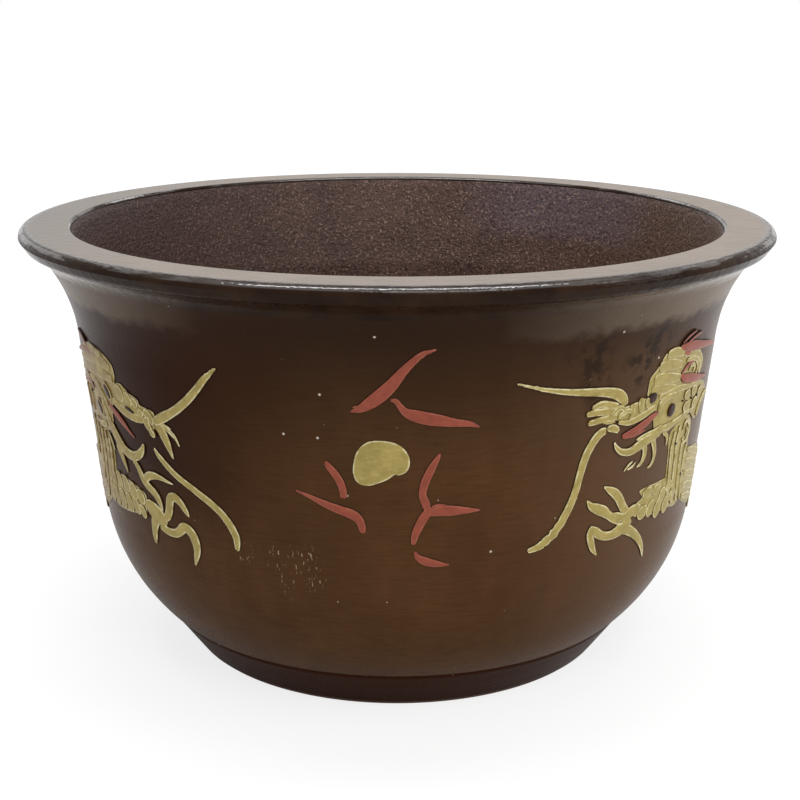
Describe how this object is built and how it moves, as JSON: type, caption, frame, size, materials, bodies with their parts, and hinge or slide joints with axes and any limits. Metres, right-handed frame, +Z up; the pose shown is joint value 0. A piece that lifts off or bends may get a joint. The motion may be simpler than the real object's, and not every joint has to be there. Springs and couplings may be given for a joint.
{
  "type": "open stoneware jar",
  "caption": "Wide open stoneware jar with a flat flared rim, round belly and foot ring, in dark brown glaze with two slip dragons and a flaming pearl.",
  "frame": {"origin": "centre of the foot's resting face", "axes": "+Z up along the jar's axis, the pearl faces -Y, +X is to the pearl's right"},
  "size_m": [0.5199, 0.52, 0.302],
  "materials": {
    "brown_glaze": "gloss",
    "yellow_slip": "satin",
    "red_slip": "satin",
    "dark_slip": "gloss"
  },
  "bodies": {
    "root": {"flame_foot": "red_slip", "flame_left": "red_slip", "flame_left_low": "red_slip", "flame_right": "red_slip", "flame_right_leaf": "red_slip", "flame_right_low": "red_slip", "flame_top": "red_slip", "flame_top_right": "red_slip", "floor_slab": "brown_glaze", "foot_ring": "brown_glaze", "left_dragon_back": "yellow_slip", "left_dragon_beard": "yellow_slip", "left_dragon_eyes": "dark_slip", "left_dragon_far_foreleg": "yellow_slip", "left_dragon_far_hind_leg": "yellow_slip", "left_dragon_foreleg": "yellow_slip", "left_dragon_forepaw": "yellow_slip", "left_dragon_haunch": "yellow_slip", "left_dragon_hind_leg": "yellow_slip", "left_dragon_horns": "red_slip", "left_dragon_loin": "yellow_slip", "left_dragon_lower_jaw": "yellow_slip", "left_dragon_lower_whisker": "yellow_slip", "left_dragon_muzzle": "yellow_slip", "left_dragon_neck": "yellow_slip", "left_dragon_shoulder": "yellow_slip", "left_dragon_skull": "yellow_slip", "left_dragon_tail": "yellow_slip", "left_dragon_tongue": "red_slip", "left_dragon_upper_whisker": "yellow_slip", "lower_wall": "brown_glaze", "pearl": "yellow_slip", "right_dragon_back": "yellow_slip", "right_dragon_beard": "yellow_slip", "right_dragon_eyes": "dark_slip", "right_dragon_far_foreleg": "yellow_slip", "right_dragon_far_hind_leg": "yellow_slip", "right_dragon_foreleg": "yellow_slip", "right_dragon_forepaw": "yellow_slip", "right_dragon_haunch": "yellow_slip", "right_dragon_hind_leg": "yellow_slip", "right_dragon_horns": "red_slip", "right_dragon_loin": "yellow_slip", "right_dragon_lower_jaw": "yellow_slip", "right_dragon_lower_whisker": "yellow_slip", "right_dragon_muzzle": "yellow_slip", "right_dragon_neck": "yellow_slip", "right_dragon_shoulder": "yellow_slip", "right_dragon_skull": "yellow_slip", "right_dragon_tail": "yellow_slip", "right_dragon_tongue": "red_slip", "right_dragon_upper_whisker": "yellow_slip", "rim_collar": "brown_glaze", "upper_wall": "brown_glaze"}
  },
  "joints": []
}
